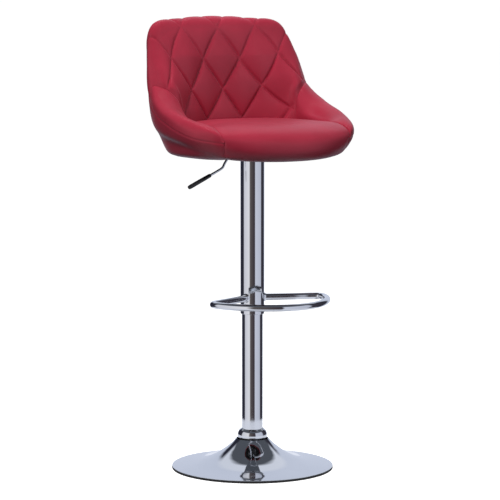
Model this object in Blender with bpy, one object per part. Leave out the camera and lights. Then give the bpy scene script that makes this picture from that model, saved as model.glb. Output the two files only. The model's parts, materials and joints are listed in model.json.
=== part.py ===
"""Adjustable swivel stool with a quilted tub seat, a gas lift and a trumpet base.

Metres, +Z up.  The origin is on the floor, on the column's axis.  The seat faces -Y, and the
release lever points to -X.  The stool stands at its full height.
"""
import math

import bmesh
import bpy
from mathutils import Vector

# ---- driving dimensions ------------------------------------------------------------------
GAP = 0.0003                 # clearance between pieces that touch

BASE_R = 0.1925              # base shell rim
SHEET = 0.0015               # base shell sheet
RING_H = 0.0048              # rubber floor ring
COLUMN_R = 0.0250            # lower chrome column, outside
COLUMN_BORE = 0.0228
COLUMN_BOTTOM = 0.0120
COLUMN_TOP = 0.5000
SLEEVE_R = 0.0285            # upper chrome sleeve, outside
SLEEVE_BORE = 0.0270
SLEEVE_BOTTOM = 0.3730
SLEEVE_TOP = 0.7440
COLLAR_BOTTOM = 0.0720
COLLAR_TOP = 0.0950

ROD_R = 0.0050               # gas spring rod
CYLINDER_R = 0.0140          # gas spring cylinder
CYLINDER_BORE = 0.0118
CYLINDER_BOTTOM = 0.4000
CYLINDER_TOP = 0.7470

FOOT_Z = 0.4120              # footrest tube, centre height
FOOT_TUBE_R = 0.0080

PLATE_BOTTOM = 0.7590        # steel plate under the seat
PLATE_H = 0.0023
PLATE_HALF = 0.0800
BOLT_AT = 0.0600             # bolts stand at +-BOLT_AT in x and y
BOARD_BOTTOM = 0.7625        # plywood seat board
BOARD_TOP = 0.7740
LEVER_Z = 0.7545             # lever's pivot axis
PIVOT_X = -0.0340
LEVER_R = 0.0030

SHELL_HALF = 0.0035          # half the thickness of the bent plywood shell
WALL_GAP = 0.0012            # clearance between the layers of the tub wall
COVER_DROP = 0.0024          # how far the cover's upper edge stays below the outside seam

# The tub wall's rails on the right half: (right, forward, up) at nine stations that run from
# the front corner, along the arm, up the back's side edge and along its top to the middle.
RAILS = {
    "inner_foot": [(.135, .1250, .7765), (.162, .092, .7765), (.167, .045, .7765), (.163, -.015, .7765),
                   (.153, -.062, .7765), (.132, -.090, .7765), (.104, -.113, .7765),
                   (.058, -.131, .7765), (0, -.137, .7765)],
    "inner_crease": [(.148, .1354, .787), (.168, .098, .812), (.168, .046, .820), (.164, -.014, .820),
                     (.155, -.062, .820), (.135, -.089, .820), (.106, -.113, .820),
                     (.059, -.131, .820), (0, -.137, .820)],
    "inner_low": [(.158, .1434, .794), (.175, .1005, .8240), (.1735, .047, .8275), (.1668, -.0135, .837),
                  (.160, -.0595, .853), (.149, -.088, .868), (.113, -.113, .872),
                  (.060, -.130, .872), (0, -.1365, .872)],
    "inner_mid": [(.164, .1482, .797), (.1840, .103, .8285), (.1835, .0475, .8365), (.178, -.015, .848),
                  (.168, -.0635, .884), (.168, -.093, .925), (.129, -.121, .945),
                  (.066, -.138, .945), (0, -.1455, .945)],
    "inner_high": [(.169, .1522, .798), (.1955, .104, .8315), (.2005, .0455, .8455), (.1985, -.022, .865),
                   (.189, -.0745, .906), (.188, -.115, .968), (.155, -.148, 1.034),
                   (.078, -.159, 1.044), (0, -.1635, 1.048)],
    "crest": [(.174, .1562, .7965), (.2080, .103, .8295), (.2185, .040, .851), (.2190, -.033, .873),
              (.2110, -.096, .9145), (.2010, -.134, .985), (.1715, -.164, 1.056),
              (.086, -.181, 1.070), (0, -.187, 1.0740)],
    "outer_high": [(.1785, .1598, .792), (.2180, .100, .8185), (.233, .036, .841), (.2325, -.038, .8665),
                   (.2185, -.1005, .9025), (.2020, -.1385, .972), (.1765, -.175, 1.036),
                   (.090, -.1975, 1.055), (0, -.2035, 1.059)],
    "outer_seam": [(.181, .1618, .785), (.2220, .098, .803), (.2360, .034, .8205), (.2355, -.042, .846),
                   (.2210, -.103, .880), (.2015, -.1435, .940), (.1735, -.179, 1.000),
                   (.090, -.203, 1.020), (0, -.209, 1.025)],
    "outer_mid": [(.178, .1594, .775), (.2135, .096, .788), (.2270, .032, .799), (.2270, -.044, .813),
                  (.2120, -.104, .831), (.1940, -.1415, .861), (.1670, -.170, .891),
                  (.088, -.193, .906), (0, -.200, .911)],
    "outer_ridge": [(.171, .1538, .765), (.2020, .092, .775), (.2120, .031, .785), (.2095, -.0445, .793),
                    (.1945, -.100, .800), (.1750, -.131, .804), (.149, -.154, .807),
                    (.0795, -.176, .810), (0, -.183, .812)],
    "bottom_edge": [(.158, .1434, .755), (.1910, .087, .758), (.2005, .029, .760), (.1975, -.0405, .762),
                    (.1800, -.092, .763), (.1595, -.120, .763), (.1345, -.142, .763),
                    (.073, -.163, .763), (0, -.170, .763)],
    "bottom_inner": [(.143, .1314, .7535), (.1770, .080, .7545), (.1860, .027, .755), (.1830, -.038, .755),
                     (.1665, -.084, .755), (.1465, -.110, .755), (.1225, -.130, .755),
                     (.0655, -.149, .755), (0, -.156, .755)],
}
KNEE = 4                      # the station where bolster and back pad meet
MIDDLE = 8                    # the station at the middle of the back
SEAM_T = 0.010                # half the gap of a seam, in stations

# The cushion's front roll, from its lower edge up to its crown: how far forward it stands in
# the middle, its height there, and the corner (right, up) where it meets the tub.
FRONT_ROLL = [
    (0.172, 0.7490, (0.1420, 0.7540)),
    (0.190, 0.7500, (0.1560, 0.7550)),
    (0.201, 0.7610, (0.1700, 0.7650)),
    (0.2055, 0.7780, (0.1780, 0.7780)),
    (0.2020, 0.7920, (0.1765, 0.7910)),
    (0.1940, 0.8040, (0.1700, 0.7970)),
    (0.1820, 0.8135, (0.1600, 0.7980)),
]
# The tub wall's front end is a flat, upright cut: forward = CUT_F + CUT_SLOPE * (right - CUT_X)
CUT_X, CUT_F, CUT_SLOPE = 0.1350, 0.1250, 0.80
CUT_GAP = 0.0030
END_RELIEF = 0.0030           # extra room beside the wall's twisted front end
CROWN_Z = 0.8335

# Footrest tube's centre line on the right half: (right, forward), from the sleeve outwards.
FOOT_START_DEG = 65.8         # angle from straight ahead at which the bars leave the sleeve
FOOT_POINTS = [(0.0850, 0.0375), (0.1270, 0.0530), (0.1455, 0.0630), (0.1495, 0.0785),
               (0.1425, 0.1030), (0.1265, 0.1315), (0.1020, 0.1600), (0.0700, 0.1855),
               (0.0360, 0.2015), (0.0, 0.2070)]

CHROME = ((0.78, 0.79, 0.81), 0.08, 1.0)
STEEL = ((0.50, 0.51, 0.53), 0.35, 1.0)
BLACK_STEEL = ((0.03, 0.03, 0.03), 0.45, 0.3)
RUBBER = ((0.02, 0.02, 0.02), 0.75, 0.0)
BLACK_PLASTIC = ((0.025, 0.025, 0.028), 0.40, 0.0)
PLYWOOD = ((0.62, 0.45, 0.27), 0.65, 0.0)
LEATHER = ((0.38, 0.025, 0.045), 0.42, 0.0)
FELT = ((0.04, 0.04, 0.04), 0.95, 0.0)


# ---- helpers -----------------------------------------------------------------------------
def clear_scene():
    """Remove everything that a new file holds."""
    for obj in list(bpy.data.objects):
        bpy.data.objects.remove(obj, do_unlink=True)


def material(name, look):
    """A Principled material from ((r, g, b), roughness, metallic)."""
    color, roughness, metallic = look
    mat = bpy.data.materials.new(name)
    mat.use_nodes = True
    shader = mat.node_tree.nodes["Principled BSDF"]
    shader.inputs["Base Color"].default_value = (*color, 1.0)
    shader.inputs["Roughness"].default_value = roughness
    shader.inputs["Metallic"].default_value = metallic
    return mat


def add_object(name, verts, faces, look, origin=(0, 0, 0), smooth_deg=35):
    """Make one closed mesh object; its origin is where the piece turns or stands."""
    bm = bmesh.new()
    made = [bm.verts.new(Vector(v) - Vector(origin)) for v in verts]
    for face in faces:
        bm.faces.new([made[i] for i in face])
    bmesh.ops.recalc_face_normals(bm, faces=bm.faces)
    mesh = bpy.data.meshes.new(name)
    bm.to_mesh(mesh)
    bm.free()
    obj = bpy.data.objects.new(name, mesh)
    obj.location = origin
    bpy.context.scene.collection.objects.link(obj)
    if look is not None:
        mesh.materials.append(material(name + "_material", look))
    mesh.shade_smooth()
    mesh.set_sharp_from_angle(angle=math.radians(smooth_deg))
    return obj


def turned(name, profile, look, segments=32, centre=(0, 0)):
    """Turn a closed (radius, height) outline about a vertical axis."""
    verts, rings, faces = [], [], []
    for radius, height in profile:
        count = 1 if radius == 0 else segments
        rings.append([len(verts) + i for i in range(count)])
        for i in range(count):
            angle = 2 * math.pi * i / segments
            verts.append((centre[0] + radius * math.cos(angle), centre[1] + radius * math.sin(angle), height))
    for k, ring in enumerate(rings):
        after = rings[(k + 1) % len(rings)]
        if len(ring) == 1 and len(after) == 1:
            continue
        for i in range(segments):
            j = (i + 1) % segments
            if len(ring) == 1:
                faces.append((ring[0], after[j], after[i]))
            elif len(after) == 1:
                faces.append((ring[i], ring[j], after[0]))
            else:
                faces.append((ring[i], ring[j], after[j], after[i]))
    return add_object(name, verts, faces, look)


def tube(name, r_in, r_out, low, high, look, segments=32, centre=(0, 0)):
    """A plain ring or tube."""
    outline = [(r_in, low), (r_out, low), (r_out, high), (r_in, high)]
    return turned(name, outline, look, segments, centre)


def loft(name, rings, look, closed=False, smooth_deg=35, caps=None):
    """Join equal rings of points with quads, and cap both ends unless the loft is closed.

    Caps lists a ring's triangles by point, for a bent end that one flat face can't close."""
    count = len(rings[0])
    verts = [point for ring in rings for point in ring]
    faces = []
    spans = len(rings) if closed else len(rings) - 1
    for k in range(spans):
        after = (k + 1) % len(rings)
        for i in range(count):
            j = (i + 1) % count
            faces.append((k * count + i, k * count + j, after * count + j, after * count + i))
    if not closed:
        last = (len(rings) - 1) * count
        for cap in caps or [tuple(range(count))]:
            faces.append(cap)
            faces.append(tuple(last + i for i in reversed(cap)))
    return add_object(name, verts, faces, look, smooth_deg=smooth_deg)


def fan_caps(name, rings, low_centre, high_centre, look, smooth_deg=35):
    """Join stacked rings, and close the first and the last onto a centre point each."""
    count = len(rings[0])
    verts = [point for ring in rings for point in ring] + [low_centre, high_centre]
    faces = []
    for k in range(len(rings) - 1):
        for i in range(count):
            j = (i + 1) % count
            faces.append((k * count + i, k * count + j, (k + 1) * count + j, (k + 1) * count + i))
    last = (len(rings) - 1) * count
    for i in range(count):
        j = (i + 1) % count
        faces.append((len(verts) - 2, j, i))
        faces.append((len(verts) - 1, last + i, last + j))
    return add_object(name, verts, faces, look, smooth_deg=smooth_deg)


def sweep(name, path, radii, look, sides=12, origin=(0, 0, 0)):
    """A round bar along a smooth path, with flat ends."""
    points = [Vector(p) for p in path]
    rings = []
    side = None
    for k, point in enumerate(points):
        before = points[max(k - 1, 0)]
        after = points[min(k + 1, len(points) - 1)]
        along = (after - before).normalized()
        if side is None:
            side = along.orthogonal().normalized()
        side = (side - along * side.dot(along)).normalized()
        other = along.cross(side)
        radius = radii[k] if isinstance(radii, (list, tuple)) else radii
        ring = []
        for i in range(sides):
            angle = 2 * math.pi * i / sides
            ring.append(point + side * (radius * math.cos(angle)) + other * (radius * math.sin(angle)))
        rings.append(ring)
    verts = [p for ring in rings for p in ring]
    faces = [tuple(reversed(range(sides)))]
    for k in range(len(rings) - 1):
        for i in range(sides):
            j = (i + 1) % sides
            faces.append((k * sides + i, k * sides + j, (k + 1) * sides + j, (k + 1) * sides + i))
    faces.append(tuple((len(rings) - 1) * sides + i for i in range(sides)))
    return add_object(name, verts, faces, look, origin=origin)


def catmull(points, t):
    """The point at parameter t on a smooth curve through the points."""
    k = min(int(t), len(points) - 2)
    u = t - k
    p1, p2 = Vector(points[k]), Vector(points[k + 1])
    p0 = Vector(points[k - 1]) if k > 0 else p1 * 2 - p2
    p3 = Vector(points[k + 2]) if k + 2 < len(points) else p2 * 2 - p1
    return 0.5 * (2 * p1 + (p2 - p0) * u + (2 * p0 - 5 * p1 + 4 * p2 - p3) * u ** 2
                  + (3 * p1 - p0 - 3 * p2 + p3) * u ** 3)


def smooth_path(points, steps):
    """Evenly spaced parameters along a smooth curve through the points."""
    total = len(points) - 1
    return [catmull(points, total * i / steps) for i in range(steps + 1)]


def cut(obj, cutters):
    """Subtract each cutter with an exact Boolean; cutters stay as hidden guides."""
    for cutter in cutters:
        cutter.hide_render = True
        cutter.display_type = "WIRE"
        modifier = obj.modifiers.new("cut_" + cutter.name, "BOOLEAN")
        modifier.operation = "DIFFERENCE"
        modifier.solver = "EXACT"
        modifier.object = cutter


def bolt_places():
    """The four bolt centres, in x and y."""
    return [(sx * BOLT_AT, sy * BOLT_AT) for sx in (-1, 1) for sy in (-1, 1)]


def hole_cutters(name, radius, low, high):
    """Four upright cylinders at the bolt places."""
    made = []
    for index, place in enumerate(bolt_places(), 1):
        outline = [(0, low), (radius, low), (radius, high), (0, high)]
        made.append(turned(f"{name}_{index}_cutter", outline, None, 12, place))
    return made


# ---- base --------------------------------------------------------------------------------
def shell_outline():
    """Outside of the trumpet, from its rim up to its neck."""
    return [(0.1915, 0.0051), (BASE_R, 0.0057), (0.1905, 0.0070), (0.1720, 0.0095), (0.1500, 0.0125),
            (0.1280, 0.0166), (0.1080, 0.0227), (0.0920, 0.0300), (0.0800, 0.0368), (0.0704, 0.0432),
            (0.0630, 0.0487), (0.0556, 0.0545), (0.0495, 0.0599), (0.0440, 0.0655), (0.0390, 0.0715)]


def base_parts():
    outside = shell_outline()
    inside = []
    for k in range(len(outside) - 1, 2, -1):
        r0, z0 = outside[k - 1]
        r1, z1 = outside[min(k + 1, len(outside) - 1)]
        length = math.hypot(r1 - r0, z1 - z0)
        down, inwards = (r1 - r0) / length, (z1 - z0) / length
        radius, height = outside[k]
        inside.append((radius - SHEET * inwards, height + SHEET * down))
    inside[0] = (outside[-1][0] - SHEET, outside[-1][1])
    inside.append((0.1885, 0.0051))
    turned("base_shell", outside + inside, CHROME, 48)
    tube("base_plate", 0.0313, 0.1775, 0.0030, 0.0060, BLACK_STEEL, 32)
    turned("floor_ring", [(0.1800, 0.0), (0.1922, 0.0), (0.1930, 0.0008), (0.1930, 0.0042),
                          (0.1924, RING_H), (0.1800, RING_H)], RUBBER, 48)
    tube("socket_tube", COLUMN_R + GAP, 0.0310, 0.0025, 0.0710, STEEL, 24)
    turned("base_collar", [(COLUMN_R + GAP, COLLAR_BOTTOM), (0.0335, COLLAR_BOTTOM), (0.0347, 0.0745),
                           (0.0352, 0.0785), (0.0350, 0.0830), (0.0338, 0.0875), (0.0318, 0.0912),
                           (0.0290, 0.0938), (0.0275, COLLAR_TOP), (COLUMN_R + GAP, COLLAR_TOP)],
           CHROME, 32)
    tube("lower_column", COLUMN_BORE, COLUMN_R, COLUMN_BOTTOM, COLUMN_TOP, CHROME, 32)
    tube("column_end_plate", 0.0065, COLUMN_BORE - GAP, 0.0130, 0.0170, STEEL, 24)
    tube("bearing_lower_washer", 0.0068, 0.0150, 0.0173, 0.0188, STEEL, 16)
    turned("guide_bushing", [(CYLINDER_R + GAP, 0.4200), (COLUMN_BORE - GAP, 0.4200),
                             (COLUMN_BORE - GAP, COLUMN_TOP + GAP), (COLUMN_R - GAP, COLUMN_TOP + GAP),
                             (COLUMN_R - GAP, COLUMN_TOP + 0.0022), (CYLINDER_R + GAP, COLUMN_TOP + 0.0022)],
           BLACK_PLASTIC, 24)


# ---- gas spring --------------------------------------------------------------------------
def bearing_cage():
    """A ring that swells round each of its ten balls."""
    balls, steps = 10, 4
    rings = []
    for i in range(balls * steps):
        angle = 2 * math.pi * i / (balls * steps)
        swell = 0.5 + 0.5 * math.cos(angle * balls)
        half = 0.0012 + 0.0012 * swell
        ring = []
        for k in range(6):
            turn = 2 * math.pi * k / 6
            radius = 0.0110 + half * math.cos(turn)
            ring.append((radius * math.cos(angle), radius * math.sin(angle), 0.0215 + half * math.sin(turn)))
        rings.append(ring)
    return loft("bearing_cage", rings, STEEL, closed=True)


def gas_spring_parts():
    bearing_cage()
    tube("bearing_upper_washer", 0.0068, 0.0150, 0.0242, 0.0257, STEEL, 16)
    turned("piston_rod", [(0, 0.0095), (0.0040, 0.0095), (0.0045, 0.0100), (0.0045, 0.0260), (0.0075, 0.0260),
                          (0.0075, 0.0320), (ROD_R, 0.0335), (ROD_R, 0.4265), (0, 0.4265)], STEEL, 24)
    tube("rod_clip", 0.0048, 0.0095, 0.0106, 0.0124, STEEL, 24)
    turned("piston", [(ROD_R + GAP, 0.4130), (0.0113, 0.4130), (0.0113, 0.4170), (0.0095, 0.4170),
                      (0.0095, 0.4210), (0.0113, 0.4210), (0.0113, 0.4250), (ROD_R + GAP, 0.4250)], STEEL, 20)
    tube("piston_seal", 0.0098, 0.0115, 0.4173, 0.4207, RUBBER, 20)
    taper_top = 0.0128
    turned("gas_cylinder", [(CYLINDER_BORE, CYLINDER_BOTTOM), (CYLINDER_R, CYLINDER_BOTTOM),
                            (CYLINDER_R, 0.7000), (taper_top, CYLINDER_TOP - 0.001),
                            (taper_top - 0.001, CYLINDER_TOP), (0.0034, CYLINDER_TOP),
                            (0.0034, 0.7150), (CYLINDER_BORE, 0.7120)],
           BLACK_STEEL, 24)
    tube("rod_gland", ROD_R + GAP, CYLINDER_BORE - GAP, 0.4005, 0.4110, STEEL, 20)
    turned("release_pin", [(0, 0.7180), (0.0030, 0.7180), (0.0030, 0.7495), (0.0018, 0.7506), (0, 0.7510)],
           STEEL, 20)


# ---- sleeve and footrest -----------------------------------------------------------------
def sleeve_parts():
    tube("upper_sleeve", SLEEVE_BORE, SLEEVE_R, SLEEVE_BOTTOM, SLEEVE_TOP, CHROME, 32)
    tube("sleeve_liner", COLUMN_R + GAP, SLEEVE_BORE - GAP, SLEEVE_BOTTOM + 0.001, SLEEVE_BOTTOM + 0.041,
         BLACK_PLASTIC, 24)
    tube("sleeve_top_ring", CYLINDER_R + GAP, SLEEVE_BORE - GAP, 0.7180, 0.7295, BLACK_PLASTIC, 24)


def footrest_parts():
    """One bent tube, a rounded triangle in plan, with both ends on the sleeve."""
    lead = math.radians(FOOT_START_DEG)
    start = SLEEVE_R + GAP + 0.0011
    half = [(start * math.sin(lead), start * math.cos(lead))] + FOOT_POINTS
    line = [(x, -f, FOOT_Z) for x, f in half] + [(-x, -f, FOOT_Z) for x, f in reversed(half[:-1])]
    sweep("footrest_loop", smooth_path(line, 60), FOOT_TUBE_R, CHROME, sides=12)
    bead = [(0.0, 0.0112), (0.0022, 0.0102), (0.0044, 0.0090), (0.0044, 0.0086), (0.0, 0.0086)]
    for side, label in ((1, "right"), (-1, "left")):
        out = Vector((side * math.sin(lead), -math.cos(lead), 0))
        across = Vector((0, 0, 1)).cross(out)
        loops = []
        for k in range(16):
            angle = 2 * math.pi * k / 16
            loop = []
            for reach, radius in bead:
                sideways = radius * math.cos(angle)
                wall = math.sqrt((SLEEVE_R + GAP) ** 2 - sideways ** 2) + 0.0002
                loop.append(out * (wall + reach) + across * sideways
                            + Vector((0, 0, FOOT_Z + radius * math.sin(angle))))
            loops.append(loop)
        loft("footrest_weld_" + label, loops, CHROME, closed=True)


# ---- seat mechanism ----------------------------------------------------------------------
def rounded_square(half, radius, steps=3):
    """Outline of a square with round corners."""
    points = []
    for index, (cx, cy) in enumerate(((1, 1), (-1, 1), (-1, -1), (1, -1))):
        for k in range(steps + 1):
            angle = math.pi / 2 * (index + k / steps)
            points.append((cx * (half - radius) + radius * math.cos(angle),
                           cy * (half - radius) + radius * math.sin(angle)))
    return points


def prism(name, outline, low, high, look):
    """An upright prism."""
    return loft(name, [[(x, y, low) for x, y in outline], [(x, y, high) for x, y in outline]], look)


def block(name, low, high, look):
    """A plain block between two corners."""
    outline = [(low[0], low[1]), (high[0], low[1]), (high[0], high[1]), (low[0], high[1])]
    return prism(name, outline, low[2], high[2], look)


def bar_y(name, x, z, radius, reach, look, sides=16):
    """A round bar along Y, centred on y = 0."""
    return sweep(name, [(x, -reach, z), (x, reach, z)], radius, look, sides=sides, origin=(x, 0, z))


def mechanism_parts():
    plate = prism("mechanism_plate", rounded_square(PLATE_HALF, 0.012), PLATE_BOTTOM, PLATE_BOTTOM + PLATE_H,
                  BLACK_STEEL)
    cut(plate, hole_cutters("plate_hole", 0.0035, PLATE_BOTTOM - 0.01, PLATE_BOTTOM + 0.01))
    hub = turned("mechanism_hub", [(0.0138, 0.7312), (0.0200, 0.7312), (0.0200, PLATE_BOTTOM - GAP),
                                   (0.0131, PLATE_BOTTOM - GAP)], BLACK_STEEL, 28)
    cut(hub, [block("hub_slot_cutter", (-0.030, -0.0045, 0.7470), (0.0, 0.0045, 0.7700), None)])
    for side, label in ((-1, "front"), (1, "rear")):
        near, far = side * 0.0064, side * 0.0084
        ear = block("lever_bracket_" + label, (PIVOT_X - 0.0060, min(near, far), 0.7490),
                    (PIVOT_X + 0.0060, max(near, far), PLATE_BOTTOM - GAP), BLACK_STEEL)
        cut(ear, [bar_y(f"ear_{label}_cutter", PIVOT_X, LEVER_Z, 0.0024, 0.0150, None)])
    bar_y("lever_pivot_pin", PIVOT_X, LEVER_Z, 0.0020, 0.0100, STEEL)
    for index, (x, y) in enumerate(bolt_places(), 1):
        head = 0.0058
        flats = [(head * math.cos(math.pi / 3 * k), head * math.sin(math.pi / 3 * k)) for k in range(6)]
        shank = [(0.0029 * math.cos(math.pi / 6 * k), 0.0029 * math.sin(math.pi / 6 * k)) for k in range(12)]
        bolt = prism(f"mounting_bolt_{index}", [(x + a, y + b) for a, b in flats], 0.7530, 0.7568, STEEL)
        shaft = prism(f"bolt_shank_{index}_guide", [(x + a, y + b) for a, b in shank], 0.7550, 0.7735, None)
        shaft.hide_render = True
        shaft.display_type = "WIRE"
        join = bolt.modifiers.new("shank", "BOOLEAN")
        join.operation = "UNION"
        join.solver = "EXACT"
        join.object = shaft
        tube(f"bolt_washer_{index}", 0.0034, 0.0085, 0.7571, PLATE_BOTTOM - GAP, STEEL, 14, (x, y))
        turned(f"t_nut_{index}", [(0.0032, 0.7670), (0.0042, 0.7670), (0.0042, BOARD_TOP + GAP),
                                  (0.0095, BOARD_TOP + GAP), (0.0095, BOARD_TOP + 0.0015),
                                  (0.0032, BOARD_TOP + 0.0015)], STEEL, 14, (x, y))


def lever_parts():
    """Bent release lever: its inner end lies over the release pin."""
    line = [(0.0035, 0, LEVER_Z), (-0.015, 0, LEVER_Z), (PIVOT_X, 0, LEVER_Z), (-0.050, 0, 0.7525),
            (-0.0675, 0, 0.7450), (-0.0760, 0, 0.7350), (-0.0825, 0, 0.7245), (-0.0950, 0, 0.7175),
            (-0.1150, 0, 0.7083)]
    rod = sweep("lever_rod", smooth_path(line, 26), LEVER_R, CHROME, sides=10, origin=(PIVOT_X, 0, LEVER_Z))
    barrel = bar_y("lever_barrel_guide", PIVOT_X, LEVER_Z, 0.0042, 0.0060, None, sides=16)
    barrel.hide_render = True
    barrel.display_type = "WIRE"
    join = rod.modifiers.new("barrel", "BOOLEAN")
    join.operation = "UNION"
    join.solver = "EXACT"
    join.object = barrel
    cut(rod, [bar_y("lever_bore_cutter", PIVOT_X, LEVER_Z, 0.0023, 0.0150, None)])
    start, end = Vector((-0.1150, 0, 0.7083)), Vector((-0.1760, 0, 0.6805))
    along = (end - start).normalized()
    outline = [(0.0004, 0.0036), (0.0025, 0.0046), (0.020, 0.0049), (0.050, 0.0051), (0.0640, 0.0050),
               (0.0662, 0.0040)]
    path = [start + along * reach for reach, _ in outline]
    sweep("lever_grip", path, [radius for _, radius in outline], BLACK_PLASTIC, sides=16,
          origin=(PIVOT_X, 0, LEVER_Z))


# ---- tub seat ----------------------------------------------------------------------------
def rail(name, t):
    """A rail's point at station t, from 0 at the right front round the back to 16 at the left."""
    half = RAILS[name]
    full = half + [(-x, f, z) for x, f, z in reversed(half[:-1])]
    point = catmull(full, t)
    return Vector((point.x, -point.y, point.z))


def wall_section(t):
    """The tub wall's construction points at station t."""
    inside = ("inner_foot", "inner_crease", "inner_low", "inner_mid", "inner_high")
    outside = ("outer_ridge", "outer_ridge", "outer_mid", "outer_seam", "outer_high")
    inner = [rail(name, t) for name in inside]
    outer = [rail(name, t) for name in outside]
    middle, across = [], []
    for near, far in zip(inner[:4], outer[:4]):
        middle.append((near + far) / 2)
        across.append((far - near).normalized())
    middle[0].z = 0.7650
    up = (outer[4] - outer[3]).normalized()
    return inner, outer, middle, across, up


# How the ends of a pad, a cover and a shell are closed, by point of their sections.
PAD_CAPS = [(0, 1, 11), (0, 11, 12), (1, 2, 10), (1, 10, 11), (2, 3, 9), (2, 9, 10), (3, 4, 9),
            (4, 5, 9), (5, 6, 9), (6, 8, 9), (6, 7, 8)]
COVER_CAPS = [(0, 1, 7), (0, 7, 8), (1, 2, 6), (1, 6, 7), (2, 3, 5), (2, 5, 6), (3, 4, 5)]
SHELL_CAPS = [(0, 1, 6), (0, 6, 7), (1, 2, 5), (1, 5, 6), (2, 3, 4), (2, 4, 5)]


def pad_section(t):
    """Soft pad: the inner face, the rolled crest and the strip down to the outside seam."""
    inner, outer, middle, across, up = wall_section(t)
    skin = SHELL_HALF + WALL_GAP
    loop = inner + [rail("crest", t), outer[4], outer[3] + up * WALL_GAP]
    loop.append(middle[3] + across[3] * skin + up * WALL_GAP)
    for k in (3, 2, 1, 0):
        loop.append(middle[k] - across[k] * skin + (up * WALL_GAP if k == 3 else Vector()))
    loop[-1].z = inner[0].z
    return loop


def cover_section(t):
    """Outer cover: from the outside seam down the side and in under the seat."""
    _, outer, middle, across, up = wall_section(t)
    skin = SHELL_HALF + WALL_GAP
    loop = [outer[3] - up * COVER_DROP, outer[2], outer[1], rail("bottom_edge", t), rail("bottom_inner", t)]
    for k in (0, 1, 2, 3):
        loop.append(middle[k] + across[k] * skin - (up * COVER_DROP if k == 3 else Vector()))
    return loop


def shell_section(t):
    """Bent plywood shell in the middle of the tub wall."""
    _, _, middle, across, _ = wall_section(t)
    loop = [middle[k] - across[k] * SHELL_HALF for k in range(4)]
    loop += [middle[k] + across[k] * SHELL_HALF for k in (3, 2, 1, 0)]
    return loop


def stations(first, last):
    """Parameters along the rails, shared by all the wall's layers so that their facets match."""
    end = 2 * MIDDLE
    marks = {round(i / 3, 6) for i in range(3 * end + 1)}
    for knee in (KNEE, end - KNEE):
        marks.discard(round(knee, 6))
        marks |= {round(knee - SEAM_T, 6), round(knee + SEAM_T, 6)}
    return [t for t in sorted(marks) if first - 1e-6 <= t <= last + 1e-6]


def wall_parts():
    last = 2 * MIDDLE
    loft("back_pad", [pad_section(t) for t in stations(KNEE + SEAM_T, last - KNEE - SEAM_T)], LEATHER,
         caps=PAD_CAPS)
    loft("bolster_right", [pad_section(t) for t in stations(0, KNEE - SEAM_T)], LEATHER, caps=PAD_CAPS)
    loft("bolster_left", [pad_section(t) for t in stations(last - KNEE + SEAM_T, last)], LEATHER,
         caps=PAD_CAPS)
    loft("outer_cover", [cover_section(t) for t in stations(0, last)], LEATHER, caps=COVER_CAPS)
    loft("back_shell", [shell_section(t) for t in stations(1, last - 1)], PLYWOOD, caps=SHELL_CAPS)


def front_arc(tip, tip_z, corner, steps):
    """Points from the right corner across the front to the left corner, just clear of the tub."""
    x0, z0 = corner
    f0 = CUT_F + CUT_SLOPE * (x0 - CUT_X) + CUT_GAP
    points = []
    for i in range(steps + 1):
        across = 1 - 2 * i / steps
        bulge = 1 - abs(across) ** 2.2
        points.append(Vector((x0 * across, -(f0 + (tip - f0) * bulge), z0 + (tip_z - z0) * bulge)))
    return points


def cushion_ring(level, inset, z_shift, roll, steps=16):
    """One level of the cushion: round the tub's inner face, then across the front.

    Level runs from 0 at the wall's inner foot to 1 at its crease."""
    ring = []
    end = 2 * MIDDLE
    for t in [0] + stations(1 / 3, end - 1 / 3) + [end]:
        point = rail("inner_foot", t).lerp(rail("inner_crease", t), level)
        towards = Vector((-point.x, -point.y - 0.02, 0)).normalized()
        tapering = max(0, 1 - min(t, end - t))
        ring.append(point + towards * (inset + END_RELIEF * tapering) + Vector((0, 0, z_shift)))
    ring[0].y -= CUT_GAP
    ring[-1].y -= CUT_GAP
    return ring + list(reversed(front_arc(*roll, steps)))


def seat_parts():
    lip = 0.0028
    board_front = (0.1640, BOARD_TOP, (0.1280, BOARD_TOP))
    low = [Vector((p.x, p.y, BOARD_BOTTOM)) for p in board_ring(board_front)]
    high = [Vector((p.x, p.y, BOARD_TOP)) for p in low]
    board = loft("seat_board", [low, high], PLYWOOD)
    cut(board, hole_cutters("board_hole", 0.0046, BOARD_BOTTOM - 0.01, BOARD_TOP + 0.01))
    felt_low = [Vector((p.x * 0.985, p.y * 0.985, BOARD_BOTTOM - GAP - 0.0005)) for p in low]
    felt_high = [Vector((p.x, p.y, BOARD_BOTTOM - GAP)) for p in felt_low]
    felt = loft("dust_cover", [felt_low, felt_high], FELT)
    cut(felt, hole_cutters("felt_hole", 0.0035, BOARD_BOTTOM - 0.01, BOARD_BOTTOM + 0.01))

    foot = 0.7765
    flat_front = (0.1665, foot, (0.1340, foot))
    rings = [cushion_ring(0, 0.0060, 0, flat_front), cushion_ring(0, 0.0040, 0.0002, FRONT_ROLL[0])]
    for index, level in ((1, 0.03), (2, 0.15), (3, 0.4), (4, 0.7), (5, 0.97)):
        rings.append(cushion_ring(level, lip, 0, FRONT_ROLL[index]))
    rings.append(cushion_ring(1, 0.0050, 0.0035, FRONT_ROLL[6]))
    rings.append(cushion_ring(1, 0.0150, 0.0085, (0.165, 0.8210, (0.1450, 0.8040))))
    rings.append(cushion_ring(1, 0.0450, 0.0120, (0.125, 0.8290, (0.1120, 0.8220))))
    fan_caps("seat_cushion", rings, (0, 0, foot), (0, 0, CROWN_Z), LEATHER, smooth_deg=60)


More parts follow.
